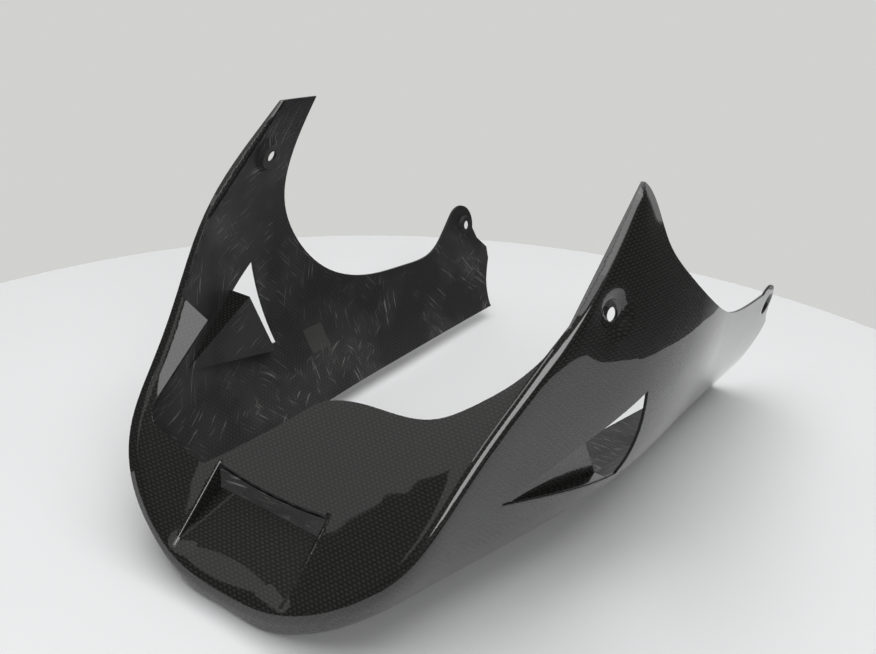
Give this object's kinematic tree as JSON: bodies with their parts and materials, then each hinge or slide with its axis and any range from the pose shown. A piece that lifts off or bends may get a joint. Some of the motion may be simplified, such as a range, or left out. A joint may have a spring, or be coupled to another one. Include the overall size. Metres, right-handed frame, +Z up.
{
  "type": "motorcycle belly pan",
  "caption": "One-piece carbon-fibre belly pan for a motorcycle, with a sloping nose deck, side horns, ramped vents, an intake scoop and dimpled screw holes.",
  "frame": {"origin": "on the ground under the middle of the pan's length, on the moulding's middle plane", "axes": "+Y towards the tail, +X towards the side with the long sweep, +Z up"},
  "size_m": [0.3536, 0.5146, 0.2592],
  "materials": {
    "carbon": "clear-coated carbon-fibre weave outside, matt laminate inside"
  },
  "bodies": {
    "root": {"belly_pan": "carbon"}
  },
  "joints": []
}
